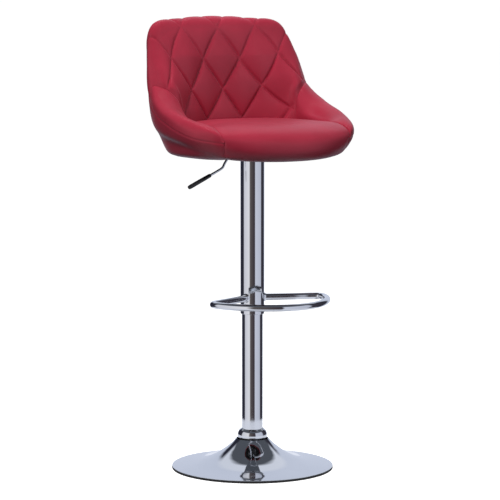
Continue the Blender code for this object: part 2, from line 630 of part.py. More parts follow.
def board_ring(front):
    """Plan of the seat board: just inside the bent shell, and an arc across the front."""
    ring = []
    for t in stations(1, 2 * MIDDLE - 1):
        _, _, middle, across, _ = wall_section(t)
        flat = Vector((across[0].x, across[0].y, 0)).normalized()
        ring.append(middle[0] - flat * (SHELL_HALF + 0.0015))
    return ring + list(reversed(front_arc(*front, 12)))


def build():
    clear_scene()
    base_parts()
    gas_spring_parts()
    sleeve_parts()
    footrest_parts()
    mechanism_parts()
    lever_parts()
    wall_parts()
    seat_parts()


build()
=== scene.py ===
"""Looks of the adjustable swivel stool: burgundy quilted tub seat, chrome column and base.

Metres, in the CAD model's frame: +Z up, the seat faces -Y, the release lever points to -X.
"""
import json
import math

import bmesh
import bpy
import numpy as np
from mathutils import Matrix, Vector


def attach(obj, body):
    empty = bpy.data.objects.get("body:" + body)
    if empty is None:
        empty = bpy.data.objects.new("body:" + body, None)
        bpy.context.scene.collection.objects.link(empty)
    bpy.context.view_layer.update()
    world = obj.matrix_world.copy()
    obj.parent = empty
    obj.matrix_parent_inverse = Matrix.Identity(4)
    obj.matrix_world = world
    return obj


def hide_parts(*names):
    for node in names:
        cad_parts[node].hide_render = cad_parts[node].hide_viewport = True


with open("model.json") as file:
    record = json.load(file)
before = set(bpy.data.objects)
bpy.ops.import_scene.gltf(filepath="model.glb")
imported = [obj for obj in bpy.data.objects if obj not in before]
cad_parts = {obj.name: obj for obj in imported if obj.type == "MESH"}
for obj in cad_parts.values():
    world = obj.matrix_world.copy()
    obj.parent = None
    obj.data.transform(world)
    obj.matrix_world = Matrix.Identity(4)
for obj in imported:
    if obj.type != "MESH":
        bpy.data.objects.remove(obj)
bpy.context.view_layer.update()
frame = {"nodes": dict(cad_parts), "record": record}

# ---- sizes shared with the CAD model --------------------------------------------------------
# Tub wall rails on the right half: (right, forward, up) at ten stations, from the front corner
# along the arm, up the back's side edge and along its top to the middle.
RAILS = {
    "crease": [(.1700, .1558, .7945), (.1750, .1440, .8125), (.1688, .100, .8262), (.1675, .046, .8200),
               (.164, -.014, .8200), (.155, -.058, .8220), (.135, -.087, .822), (.106, -.110, .822),
               (.059, -.128, .822), (0, -.134, .822)],
    "low": [(.1706, .1562, .7950), (.1772, .1443, .8145), (.175, .1005, .8292), (.1735, .047, .8262),
            (.1668, -.0135, .8370), (.160, -.0595, .853), (.149, -.088, .868), (.113, -.113, .872),
            (.060, -.130, .872), (0, -.1365, .872)],
    "mid": [(.1712, .1566, .7955), (.1802, .1438, .8158), (.1835, .1015, .8318), (.1835, .0475, .8335),
            (.1780, -.015, .8460), (.168, -.0635, .884), (.168, -.093, .925), (.129, -.121, .945),
            (.066, -.138, .945), (0, -.1455, .945)],
    "high": [(.1720, .1568, .7958), (.1842, .1430, .8162), (.1955, .102, .8335), (.2005, .0455, .8440),
             (.1985, -.022, .8640), (.189, -.0745, .906), (.188, -.115, .968), (.155, -.148, 1.034),
             (.078, -.159, 1.044), (0, -.1635, 1.048)],
    "crest": [(.1728, .1566, .7955), (.1900, .1405, .8148), (.2085, .101, .8300), (.2185, .040, .8500),
              (.2185, -.033, .8725), (.2105, -.096, .915), (.2000, -.133, .985), (.1710, -.163, 1.055),
              (.086, -.181, 1.068), (0, -.187, 1.0715)],
    "outer_high": [(.1728, .1562, .7940), (.1940, .1375, .8080), (.2175, .098, .8180), (.232, .036, .840),
                   (.2320, -.038, .8665), (.2180, -.099, .903), (.2015, -.137, .972), (.176, -.174, 1.036),
                   (.090, -.197, 1.055), (0, -.203, 1.059)],
    "seam": [(.1712, .1560, .7925), (.1945, .1360, .7965), (.2200, .096, .8035), (.2345, .034, .8215),
             (.2345, -.040, .8475), (.2200, -.102, .880), (.2005, -.142, .940), (.173, -.178, 1.000),
             (.090, -.203, 1.020), (0, -.209, 1.025)],
    "outer_mid": [(.1688, .1525, .7830), (.1895, .1310, .7850), (.2120, .092, .790), (.2250, .031, .800),
                  (.2260, -.044, .815), (.2105, -.103, .832), (.1925, -.140, .862), (.166, -.169, .892),
                  (.087, -.192, .907), (0, -.199, .912)],
    "ridge": [(.1642, .1460, .7700), (.1810, .1250, .7710), (.2010, .088, .7755), (.2110, .031, .785),
              (.2085, -.044, .794), (.1935, -.099, .800), (.1740, -.130, .804), (.148, -.153, .807),
              (.079, -.175, .810), (0, -.182, .812)],
    "edge": [(.1590, .1405, .7600), (.1700, .1180, .7600), (.1890, .083, .7605), (.1990, .029, .7620),
             (.1960, -.040, .763), (.1785, -.091, .764), (.1580, -.119, .764), (.133, -.141, .764),
             (.072, -.162, .764), (0, -.169, .764)],
    "under": [(.1480, .1290, .7555), (.1560, .1050, .7545), (.1740, .074, .7545), (.1840, .027, .755),
              (.1810, -.037, .755), (.1650, -.083, .7555), (.1450, -.109, .7555), (.121, -.129, .7555),
              (.065, -.148, .7555), (0, -.155, .7555)],
}
KNEE = 5                      # the station where bolster and back pad meet
END = 18                      # the last station, at the left front corner

# Rows of the cushion from the crease at the back over the crown and the front roll to its lower
# edge: (forward, up) in the middle, (right, forward, up) at the seam, and how square the row is.
CUSHION_ROWS = [
    ((-.1370, .8090), (.1535, -.0570, .8100), 2.5), ((-.1350, .8180), (.1550, -.0545, .8160), 3.0),
    ((-.1290, .8245), (.1575, -.0460, .8185), 4.0), ((-.1150, .8285), (.1612, -.0310, .8190), 5.0),
    ((-.0850, .8315), (.1645, -.0080, .8190), 5.0), ((-.0400, .8332), (.1663, .0200, .8190), 5.0),
    ((.0100, .8340), (.1675, .0480, .8195), 5.0), ((.0650, .8338), (.1680, .0760, .8230), 5.0),
    ((.1150, .8310), (.1692, .1030, .8262), 5.0), ((.1530, .8245), (.1725, .1260, .8215), 4.0),
    ((.1790, .8145), (.1750, .1440, .8125), 3.2), ((.1950, .8020), (.1735, .1525, .8035), 2.8),
    ((.2035, .7870), (.1700, .1558, .7945), 2.4), ((.2045, .7710), (.1688, .1525, .7830), 2.4),
    ((.1980, .7580), (.1642, .1460, .7700), 2.4), ((.1870, .7505), (.1590, .1405, .7600), 2.4),
    ((.1740, .7490), (.1480, .1290, .7555), 2.4),
]
CUSHION_FOOT = 0.7765

QUILT_W = 0.0990              # a diamond's width along the back
QUILT_H = 0.1390              # a diamond's height
QUILT_Z = 0.9020              # height of the crossing on the back's middle line
QUILT_PUFF = 0.0092
QUILT_GROOVE = 0.0026         # depth of the pulled-in line between two diamonds
QUILT_GROOVE_HALF = 0.0030
EDGE_RUN = 0.045              # how far a quilt line still drifts sideways once past the edge
SEAM_RISE = 0.0022            # how far the leather rises beside a seam
PANEL_RISE = 0.0026           # the same, below the outside seam

SHELL_PROFILE = [(0.1915, 0.0051), (0.1925, 0.0057), (0.1922, 0.0064), (0.1905, 0.0070), (0.1720, 0.0095),
                 (0.1500, 0.0125), (0.1280, 0.0166), (0.1080, 0.0227), (0.0920, 0.0300), (0.0800, 0.0368),
                 (0.0704, 0.0432), (0.0630, 0.0487), (0.0556, 0.0545), (0.0495, 0.0599), (0.0440, 0.0655),
                 (0.0390, 0.0715)]
COLLAR_PROFILE = [(0.0335, 0.0720), (0.0347, 0.0745), (0.0352, 0.0785), (0.0350, 0.0830), (0.0338, 0.0875),
                  (0.0318, 0.0912), (0.0290, 0.0938), (0.0275, 0.0950)]
COLUMN_R, COLUMN_BORE = 0.0250, 0.0228
SLEEVE_R, SLEEVE_BORE, SLEEVE_TOP = 0.0285, 0.0270, 0.7440
FOOT_Z, FOOT_TUBE_R, FOOT_START_DEG = 0.4120, 0.0080, 65.8
LEVER_R, LEVER_TIP_R = 0.0030, 0.0020
FOOT_POINTS = [(0.0850, 0.0375), (0.1270, 0.0530), (0.1455, 0.0630), (0.1495, 0.0785), (0.1425, 0.1030),
               (0.1265, 0.1315), (0.1020, 0.1600), (0.0700, 0.1855), (0.0360, 0.2015), (0.0, 0.2070)]
LEVER_LINE = [(0.0035, 0, .7545), (-.015, 0, .7545), (-.034, 0, .7545), (-.050, 0, .7525), (-.0675, 0, .7450),
              (-.0760, 0, .7350), (-.0825, 0, .7245), (-.0950, 0, .7175), (-.1150, 0, .7083)]
GRIP_END = (-0.1760, 0, 0.6805)


# ---- curves and meshes ----------------------------------------------------------------------
def catmull(points, t):
    """Point at parameter t on a smooth curve through an array of points."""
    k = min(int(t), len(points) - 2)
    u = t - k
    p1, p2 = points[k], points[k + 1]
    p0 = points[k - 1] if k > 0 else 2 * p1 - p2
    p3 = points[k + 2] if k + 2 < len(points) else 2 * p2 - p1
    return 0.5 * (2 * p1 + (p2 - p0) * u + (2 * p0 - 5 * p1 + 4 * p2 - p3) * u ** 2
                  + (3 * p1 - p0 - 3 * p2 + p3) * u ** 3)


def smooth_points(points, steps):
    """Steps + 1 points at even parameters along a smooth curve through the points."""
    array = np.array(points, float)
    return [catmull(array, (len(array) - 1) * i / steps) for i in range(steps + 1)]


def full_rail(name):
    """A rail's points from the right front corner to the left one, with y pointing backwards."""
    half = RAILS[name]
    both = half + [(-x, f, z) for x, f, z in reversed(half[:-1])]
    return np.array([(x, -f, z) for x, f, z in both], float)


def mesh_object(name, verts, faces, mat, smooth_deg=40):
    """One mesh piece, shaded smooth, with its faces pointing out."""
    bm = bmesh.new()
    made = [bm.verts.new(v) for v in verts]
    for face in faces:
        bm.faces.new([made[i] for i in face])
    bmesh.ops.recalc_face_normals(bm, faces=bm.faces)
    mesh = bpy.data.meshes.new(name)
    bm.to_mesh(mesh)
    bm.free()
    obj = bpy.data.objects.new(name, mesh)
    bpy.context.scene.collection.objects.link(obj)
    mesh.materials.append(mat)
    mesh.shade_smooth()
    mesh.set_sharp_from_angle(angle=math.radians(smooth_deg))
    return obj


def grid_faces(rows, columns, close_rows=False, close_columns=False):
    """Quads of a grid of points, stored row after row."""
    faces = []
    for r in range(rows if close_rows else rows - 1):
        for c in range(columns if close_columns else columns - 1):
            r2, c2 = (r + 1) % rows, (c + 1) % columns
            faces.append((r * columns + c, r * columns + c2, r2 * columns + c2, r2 * columns + c))
    return faces


def turned(name, profile, mat, segments, smooth_deg=40):
    """Turn a closed outline of (radius, height) about the column's axis."""
    verts = []
    for radius, height in profile:
        for i in range(segments):
            angle = 2 * math.pi * i / segments
            verts.append((radius * math.cos(angle), radius * math.sin(angle), height))
    faces = grid_faces(len(profile), segments, close_rows=True, close_columns=True)
    return mesh_object(name, verts, faces, mat, smooth_deg)


def smooth_profile(profile, steps):
    """A profile refined with a smooth curve through its points."""
    return [tuple(p) for p in smooth_points(profile, steps)]


def sweep(name, path, radii, mat, sides=32, smooth_deg=40):
    """A round bar along a path, its ends closed."""
    points = [Vector(p) for p in path]
    verts = []
    side = None
    for k, point in enumerate(points):
        along = (points[min(k + 1, len(points) - 1)] - points[max(k - 1, 0)]).normalized()
        side = along.orthogonal().normalized() if side is None else side
        side = (side - along * side.dot(along)).normalized()
        other = along.cross(side)
        radius = radii[k] if isinstance(radii, list) else radii
        for i in range(sides):
            angle = 2 * math.pi * i / sides
            verts.append(point + side * (radius * math.cos(angle)) + other * (radius * math.sin(angle)))
    faces = grid_faces(len(points), sides, close_columns=True)
    faces.append(tuple(reversed(range(sides))))
    faces.append(tuple((len(points) - 1) * sides + i for i in range(sides)))
    return mesh_object(name, verts, faces, mat, smooth_deg)


# ---- materials ------------------------------------------------------------------------------
def new_material(name):
    """A material with its shader, node maker and linker."""
    mat = bpy.data.materials.new(name)
    mat.use_nodes = True
    tree = mat.node_tree
    return mat, tree.nodes["Principled BSDF"], tree


def add_node(tree, kind, **values):
    """A node with its inputs set by name."""
    node = tree.nodes.new(kind)
    for key, value in values.items():
        node.inputs[key.replace("_", " ")].default_value = value
    return node


def ramp(tree, source, stops):
    """A colour ramp on a value."""
    node = tree.nodes.new("ShaderNodeValToRGB")
    tree.links.new(source, node.inputs["Fac"])
    while len(node.color_ramp.elements) < len(stops):
        node.color_ramp.elements.new(0.5)
    for element, (position, color) in zip(node.color_ramp.elements, stops):
        element.position = position
        element.color = (*color, 1.0)
    return node.outputs["Color"]


def value_ramp(tree, source, low, high):
    """Map 0..1 to low..high."""
    node = add_node(tree, "ShaderNodeMapRange", To_Min=low, To_Max=high)
    tree.links.new(source, node.inputs["Value"])
    return node.outputs["Result"]


def noise(tree, scale, detail=4.0, roughness=0.55, distortion=0.0, stretch=(1, 1, 1)):
    """Noise in object space."""
    coords = tree.nodes.new("ShaderNodeTexCoord")
    mapping = tree.nodes.new("ShaderNodeMapping")
    mapping.inputs["Scale"].default_value = stretch
    tree.links.new(coords.outputs["Object"], mapping.inputs["Vector"])
    node = add_node(tree, "ShaderNodeTexNoise", Scale=scale, Detail=detail, Roughness=roughness,
                    Distortion=distortion)
    tree.links.new(mapping.outputs["Vector"], node.inputs["Vector"])
    return node.outputs["Fac"]


def bump(tree, shader, height, strength, distance):
    """Bump the shader's normal by a height."""
    node = add_node(tree, "ShaderNodeBump", Strength=strength, Distance=distance)
    tree.links.new(height, node.inputs["Height"])
    tree.links.new(node.outputs["Normal"], shader.inputs["Normal"])


def leather_material():
    """Soft burgundy faux leather: fine pebbled grain, faint mottling and slightly uneven gloss."""
    mat, shader, tree = new_material("burgundy_leather")
    coords = tree.nodes.new("ShaderNodeTexCoord")
    pebbles = add_node(tree, "ShaderNodeTexVoronoi", Scale=620.0, Randomness=1.0)
    pebbles.feature = "SMOOTH_F1"
    tree.links.new(coords.outputs["Object"], pebbles.inputs["Vector"])
    creases = noise(tree, 1500.0, 3.0)
    mottle = noise(tree, 9.0, 3.0)
    color = ramp(tree, mottle, [(0.30, (0.285, 0.0145, 0.0340)), (0.70, (0.345, 0.0200, 0.0440))])
    tree.links.new(color, shader.inputs["Base Color"])
    tree.links.new(value_ramp(tree, noise(tree, 60.0, 4.0), 0.40, 0.50), shader.inputs["Roughness"])
    mix = add_node(tree, "ShaderNodeMath")
    mix.operation = "MULTIPLY_ADD"
    tree.links.new(creases, mix.inputs[0])
    mix.inputs[1].default_value = 0.35
    tree.links.new(pebbles.outputs["Distance"], mix.inputs[2])
    bump(tree, shader, mix.outputs["Value"], 0.22, 0.0004)
    shader.inputs["Specular IOR Level"].default_value = 0.50
    shader.inputs["Sheen Weight"].default_value = 0.10
    shader.inputs["Sheen Roughness"].default_value = 0.40
    shader.inputs["Sheen Tint"].default_value = (1.0, 0.55, 0.62, 1.0)
    return mat


def chrome_material():
    """Polished chrome plate with a faint uneven polish."""
    mat, shader, tree = new_material("chrome_plate")
    color = ramp(tree, noise(tree, 6.0, 3.0), [(0.3, (0.74, 0.755, 0.78)), (0.7, (0.79, 0.80, 0.82))])
    tree.links.new(color, shader.inputs["Base Color"])
    shader.inputs["Metallic"].default_value = 1.0
    smear = noise(tree, 22.0, 5.0, stretch=(1, 1, 0.25))
    tree.links.new(value_ramp(tree, smear, 0.035, 0.085), shader.inputs["Roughness"])
    bump(tree, shader, noise(tree, 14.0, 2.0), 0.015, 0.002)
    return mat


def metal_material(name, dark, light, roughness, grain=(1, 1, 12)):
    """Machined or rolled steel with a drawn grain."""
    mat, shader, tree = new_material(name)
    lines = noise(tree, 260.0, 4.0, stretch=grain)
    tree.links.new(ramp(tree, lines, [(0.25, dark), (0.75, light)]), shader.inputs["Base Color"])
    shader.inputs["Metallic"].default_value = 1.0
    tree.links.new(value_ramp(tree, lines, roughness - 0.08, roughness + 0.10), shader.inputs["Roughness"])
    bump(tree, shader, lines, 0.12, 0.0002)
    return mat


def matt_material(name, dark, light, roughness, scale, strength, distance=0.0003):
    """Moulded or painted surface with a fine texture."""
    mat, shader, tree = new_material(name)
    texture = noise(tree, scale, 4.0)
    tree.links.new(ramp(tree, texture, [(0.3, dark), (0.7, light)]), shader.inputs["Base Color"])
    tree.links.new(value_ramp(tree, noise(tree, scale / 6, 3.0), roughness - 0.07, roughness + 0.07),
                   shader.inputs["Roughness"])
    bump(tree, shader, texture, strength, distance)
    return mat


def plywood_material():
    """Raw plywood: long wavy grain."""
    mat, shader, tree = new_material("plywood")
    grain = noise(tree, 40.0, 6.0, distortion=1.2, stretch=(1, 9, 9))
    stops = [(0.25, (0.40, 0.24, 0.11)), (0.55, (0.58, 0.39, 0.21)), (0.8, (0.66, 0.48, 0.28))]
    color = ramp(tree, grain, stops)
    tree.links.new(color, shader.inputs["Base Color"])
    tree.links.new(value_ramp(tree, grain, 0.55, 0.75), shader.inputs["Roughness"])
    bump(tree, shader, grain, 0.2, 0.0004)
    return mat


LEATHER = leather_material()
CHROME = chrome_material()
STEEL = metal_material("machined_steel", (0.38, 0.385, 0.40), (0.58, 0.585, 0.60), 0.32)
BLACK_STEEL = matt_material("black_enamel", (0.012, 0.012, 0.013), (0.03, 0.03, 0.032), 0.38, 900.0, 0.15)
RUBBER = matt_material("black_rubber", (0.010, 0.010, 0.010), (0.026, 0.025, 0.024), 0.72, 1200.0, 0.30)
PLASTIC = matt_material("black_plastic", (0.014, 0.014, 0.016), (0.032, 0.032, 0.035), 0.36, 1400.0, 0.12)
PLYWOOD = plywood_material()
FELT = matt_material("felt", (0.012, 0.012, 0.013), (0.05, 0.05, 0.052), 0.92, 2200.0, 0.8, 0.0005)
BY_SLOT = {"chrome": CHROME, "steel": STEEL, "black_steel": BLACK_STEEL, "rubber": RUBBER,
           "black_plastic": PLASTIC, "plywood": PLYWOOD, "leather": LEATHER, "felt": FELT}


def dress_cad_nodes():
    """Give every carried-over CAD node its detailed material."""
    for part in frame["record"]["subparts"]:
        obj = frame["nodes"][part["node"]]
        obj.data.materials.clear()
        obj.data.materials.append(BY_SLOT[part["material_slot"]])


# ---- chrome ---------------------------------------------------------------------------------
def place(piece, body, slot, *nodes):
    """Ride a body and stand for CAD nodes, which it hides. The slot argument is not used."""
    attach(piece, body)
    if nodes:
        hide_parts(*nodes)
    return piece


def chrome_base():
    """Trumpet shell, the collar round the column's foot, and the lower column."""
    outside = smooth_profile(SHELL_PROFILE, 72)
    inside = [(r - 0.0013, z - 0.0004) for r, z in reversed(outside) if z > 0.008]
    inside = [(max(r, 0.0376), z) for r, z in inside]
    shell = turned("trumpet_base", outside + inside + [(0.1885, 0.0051)], CHROME, segments=192)
    place(shell, "base", "chrome", "base_shell")
    collar = smooth_profile(COLLAR_PROFILE, 28)
    top = collar[-1]
    foot = [(0.0256, 0.0722), (0.0330, 0.0720)]
    closed = foot + collar + [(top[0] - 0.0008, top[1] + 0.0002), (0.0256, 0.0950)]
    place(turned("column_collar", closed, CHROME, segments=128), "base", "chrome", "base_collar")
    lip = 0.0006
    column = [(COLUMN_BORE, 0.0120), (COLUMN_R, 0.0120), (COLUMN_R, 0.5000 - lip), (COLUMN_R - lip, 0.5000),
              (COLUMN_BORE, 0.5000)]
    place(turned("column_tube", column, CHROME, segments=128), "base", "chrome", "lower_column")


def chrome_sleeve():
    """Upper sleeve with rounded lips at its lower end."""
    lip = 0.0005
    outline = [(SLEEVE_BORE, 0.3730 + lip), (SLEEVE_BORE + lip, 0.3730), (SLEEVE_R - lip, 0.3730),
               (SLEEVE_R, 0.3730 + lip), (SLEEVE_R, SLEEVE_TOP), (SLEEVE_BORE, SLEEVE_TOP)]
    place(turned("sleeve_tube", outline, CHROME, segments=128), "seat", "chrome", "upper_sleeve")


def chrome_footrest():
    """Bent footrest tube and the weld beads at its two ends."""
    lead = math.radians(FOOT_START_DEG)
    start = SLEEVE_R + 0.0014
    half = [(start * math.sin(lead), start * math.cos(lead))] + FOOT_POINTS
    line = [(x, -f, FOOT_Z) for x, f in half] + [(-x, -f, FOOT_Z) for x, f in reversed(half[:-1])]
    loop = sweep("footrest_tube", smooth_points(line, 220), FOOT_TUBE_R, CHROME, sides=40)
    place(loop, "seat", "chrome", "footrest_loop")
    for sign, label in ((1, "right"), (-1, "left")):
        out = Vector((sign * math.sin(lead), -math.cos(lead), 0))
        across = Vector((0, 0, 1)).cross(out)
        outline = [(0.0, 0.0110), (0.0007, 0.0104), (0.0016, 0.0098), (0.0028, 0.0092), (0.0043, 0.0087),
                   (0.0043, 0.0084), (0.0, 0.0084)]
        verts = []
        for k in range(64):
            angle = 2 * math.pi * k / 64
            for reach, radius in outline:
                sideways = radius * math.cos(angle)
                wall = math.sqrt((SLEEVE_R + 0.0003) ** 2 - sideways ** 2)
                point = out * (wall + reach) + across * sideways
                verts.append(point + Vector((0, 0, FOOT_Z + radius * math.sin(angle))))
        bead = mesh_object("weld_bead_" + label, verts,
                           grid_faces(64, len(outline), close_rows=True, close_columns=True), CHROME)
        place(bead, "seat", "chrome", "footrest_weld_" + label)


def lever():
    """Bent release lever and its plastic grip."""
    path = smooth_points(LEVER_LINE, 80)
    # the tip over the release pin is slimmer, so that a pressed lever stays off the gas cylinder
    slim = LEVER_R - LEVER_TIP_R
    radii = [LEVER_R - slim * min(max((point[0] + 0.008) / 0.005, 0), 1) for point in path]
    rod = sweep("lever_bar", path, radii, CHROME, sides=24)
    place(rod, "lever", "chrome", "lever_rod")
    start, end = Vector(LEVER_LINE[-1]), Vector(GRIP_END)
    along = (end - start).normalized()
    outline = [(0.0004, 0.0034), (0.0008, 0.0040), (0.0020, 0.0045), (0.0060, 0.0047), (0.0200, 0.0049),
               (0.0350, 0.0050), (0.0500, 0.0051), (0.0600, 0.0050), (0.0635, 0.0047), (0.0653, 0.0040),
               (0.0662, 0.0026)]
    radii = [radius for _, radius in outline]
    path = [start + along * reach for reach, _ in outline]
    place(sweep("lever_handle", path, radii, PLASTIC, sides=36), "lever", "black_plastic", "lever_grip")


# ---- upholstery -----------------------------------------------------------------------------
def wall_grid(names, first, last, steps, across):
    """Points over the tub wall: steps + 1 stations by a smooth curve across the named rails."""
    rails = [full_rail(name) for name in names]
    rows = []
    for i in range(steps + 1):
        t = first + (last - first) * i / steps
        section = np.array([catmull(rail, t) for rail in rails])
        rows.append([catmull(section, (len(names) - 1) * j / across) for j in range(across + 1)])
    return np.array(rows)


def grid_normals(points):
    """Unit normals of a grid of points."""
    along = np.gradient(points, axis=0)
    across = np.gradient(points, axis=1)
    normal = np.cross(along, across)
    return normal / np.maximum(np.linalg.norm(normal, axis=2, keepdims=True), 1e-12)


def close_wall(name, points, thickness, mat):
    """A closed pad from its outer grid: a second skin lies inside by the thickness at each point."""
    rows, columns = points.shape[:2]
    inner = points - grid_normals(points) * thickness
    verts = np.concatenate([points.reshape(-1, 3), inner.reshape(-1, 3)])
    faces = grid_faces(rows, columns)
    shift = rows * columns
    faces += [tuple(i + shift for i in reversed(face)) for face in grid_faces(rows, columns)]
    edge = [(0, c) for c in range(columns)]
    edge += [(r, columns - 1) for r in range(1, rows)]
    edge += [(rows - 1, c) for c in reversed(range(columns - 1))]
    edge += [(r, 0) for r in reversed(range(1, rows - 1))]
    ids = [r * columns + c for r, c in edge]
    for k, a in enumerate(ids):
        b = ids[(k + 1) % len(ids)]
        faces.append((b, a, a + shift, b + shift))
    return mesh_object(name, [tuple(v) for v in verts], faces, mat, smooth_deg=60)


def seam_rise(distance, height=SEAM_RISE, width=0.0020):
    """How far stuffed leather rises at a distance from its seam: nothing on the seam itself."""
    near = 1 - np.exp(-(distance / width) ** 1.6)
    far = 1 - np.exp(-(distance / 0.012) ** 2)
    return height * (0.7 * near + 0.3 * far)


def run_along(points, axis):
    """Distances travelled over a grid along one of its axes."""
    steps = np.linalg.norm(np.diff(points, axis=axis), axis=2)
    travelled = np.cumsum(steps, axis=axis)
    start = np.zeros_like(np.take(travelled, [0], axis=axis))
    return np.concatenate([start, travelled], axis=axis)


PAD_RAILS = ["crease", "low", "mid", "high", "crest", "outer_high", "seam"]


def raised(points, height, facing):
    """Lift a grid along its normals, turned to the side that a probe (row, column, direction) gives."""
    row, column, direction = facing
    normals = grid_normals(points)
    sign = 1.0 if np.dot(normals[row, column], direction) > 0 else -1.0
    return points + normals * (sign * height)[:, :, None], -sign


def back_pad():
    """Quilted back: puffed diamonds that run over the top edge to the seam behind."""
    steps, across = 360, 200
    points = wall_grid(PAD_RAILS, KNEE, END - KNEE, steps, across)
    down = run_along(points, 1)
    turn = int(across * 2.75 / 6)
    flat = np.zeros(points.shape[:2] + (2,))
    x, z = points[:, :, 0], points[:, :, 2]
    flat[:, :, 0] = x * (1 + 1.15 * x ** 2) * (1 - 0.55 * np.clip(z - 0.902, 0, 0.1))
    flat[:, :, 1] = z - 0.80 * np.abs(x) * np.clip(z - 0.94, 0, 1) - 0.07 * np.clip(z - 0.85, -1, 0)
    flat[:, :, 1] -= 0.09 * np.clip(z - 0.96, 0, 1) + 0.07 * np.clip(x - 0.06, 0, 1)
    for i in range(points.shape[0]):
        lead = flat[i, turn] - flat[i, turn - 10]
        lead = lead / np.linalg.norm(lead)
        reach = down[i, turn:] - down[i, turn]
        if abs(lead[0]) > 0.3:
            reach = EDGE_RUN * (1 - np.exp(-reach / EDGE_RUN))
        flat[i, turn:] = flat[i, turn] + reach[:, None] * lead
    a = flat[:, :, 0] / QUILT_W + (flat[:, :, 1] - QUILT_Z) / QUILT_H
    b = flat[:, :, 0] / QUILT_W - (flat[:, :, 1] - QUILT_Z) / QUILT_H
    # beside the left arm's knee seam the last line runs on into the seam
    a -= 0.24 * np.clip((x - 0.05) / 0.10, 0, 1) * np.clip((0.97 - z) / 0.12, 0, 1)
    near_a, near_b = np.abs(a - np.round(a)), np.abs(b - np.round(b))
    bulge = (np.sin(np.pi * near_a) * np.sin(np.pi * near_b)) ** 0.55
    pitch = 1 / math.hypot(1 / QUILT_W, 1 / QUILT_H)
    from_line = np.minimum(near_a, near_b) * pitch
    groove = QUILT_GROOVE * (1 - np.exp(-(from_line / QUILT_GROOVE_HALF) ** 2))
    share = down / down[:, -1:]
    fade = np.clip((0.80 - share) / 0.30, 0.30, 1.0) * np.clip((1.0 - share) / 0.06, 0, 1)
    side = run_along(points, 0)
    side = np.minimum(side, side[-1] - side)
    lift = (QUILT_PUFF * bulge + groove) * fade * (1 - np.exp(-(side / 0.010) ** 2))
    lift = lift + seam_rise(side) * seam_rise(down[:, -1:] - down, 1.0)
    puffed, inward = raised(points, lift, (steps // 2, 5, (0, -1, 0)))
    pad = close_wall("quilted_back", puffed, 0.012 * -inward, LEATHER)
    place(pad, "seat", "leather", "back_pad")


def bolster(label, first, last):
    """Smooth arm roll between the cushion's seam and the outside seam."""
    steps, across = 130, 72
    points = wall_grid(PAD_RAILS, first, last, steps, across)
    down = run_along(points, 1)
    total = down[:, -1:]
    along = run_along(points, 0)
    from_knee = along[-1] - along if label == "right" else along
    narrow = np.clip(total / 0.05, 0, 1)
    lift = seam_rise(np.minimum(down, total - down)) * narrow
    lift = lift * seam_rise(from_knee, 1.0)
    puffed, inward = raised(points, lift, (steps // 2, across // 2, (0, 0, 1)))
    depth = 0.010 * narrow[:, :, None] + 0.0006
    pad = close_wall("bolster_" + label + "_roll", puffed, depth * -inward, LEATHER)
    place(pad, "seat", "leather", "bolster_" + label)


def outer_panel():
    """Outer cover: the sides and the back, down to the edge under the seat."""
    steps, across = 280, 80
    points = wall_grid(["seam", "outer_mid", "ridge", "edge", "under"], 0.0, END, steps, across)
    down = run_along(points, 1)
    ends = run_along(points, 0)
    ends = np.minimum(ends, ends[-1] - ends)
    lift = seam_rise(down, PANEL_RISE, PANEL_RISE) * seam_rise(ends, 1.0)
    raised_points, inward = raised(points, lift, (steps // 2, across // 4, (0, 1, 0)))
    panel = close_wall("outer_panel", raised_points, 0.0030 * -inward, LEATHER)
    place(panel, "seat", "leather", "outer_cover")


def cushion_row(centre, side, square, columns):
    """One row of the cushion across the seat, rounded towards its seams."""
    u = np.linspace(-1, 1, columns + 1)
    bend = np.abs(u) ** 2.2
    drop = np.abs(u) ** square
    forward = centre[0] + (side[1] - centre[0]) * bend
    return np.stack([side[0] * u, -forward, centre[1] + (side[2] - centre[1]) * drop], axis=1)


def cushion():
    """Seat cushion: crowned on top, rolled over the front edge, closed underneath."""
    columns, rows = 140, 170
    values = np.array([[*middle, *side, square] for middle, side, square in CUSHION_ROWS], float)
    grid = []
    for r in range(rows + 1):
        row = catmull(values, (len(values) - 1) * r / rows)
        grid.append(cushion_row(row[:2], row[2:5], row[5], columns))
    grid = np.array(grid)
    across = run_along(grid, 1)
    lift = seam_rise(np.minimum(across, across[:, -1:] - across))
    grid, _ = raised(grid, lift, (rows // 3, columns // 2, (0, 0, 1)))
    closing = []
    for share in np.linspace(0, 1, 12):
        centre = (0.1690 - share * 0.3035, CUSHION_FOOT)
        side = (0.1430 + 0.009 * share, 0.1250 - share * 0.1790, CUSHION_FOOT)
        closing.append(cushion_row(centre, side, 2.0, columns))
    points = np.concatenate([grid, np.array(closing)])
    count = points.shape[0]
    faces = grid_faces(count, columns + 1, close_rows=True)
    faces.append(tuple(r * (columns + 1) for r in range(count)))
    faces.append(tuple(r * (columns + 1) + columns for r in reversed(range(count))))
    verts = [tuple(p) for p in points.reshape(-1, 3)]
    pad = mesh_object("cushion_cover", verts, faces, LEATHER, smooth_deg=60)
    place(pad, "seat", "leather", "seat_cushion")


# ---- studio ---------------------------------------------------------------------------------
LOW_AMBIENT, AMBIENT = 0.05, 0.36   # soft light from below and from above
CAMERA_YAW = 31.6             # degrees clockwise from looking along +Y
CAMERA_PITCH = 6.5
CAMERA_REACH = 5.672
CAMERA_Z = 1.171
LENS = 172.8
AIM_LEFT = 0.057              # degrees, so that the column stands right of the middle


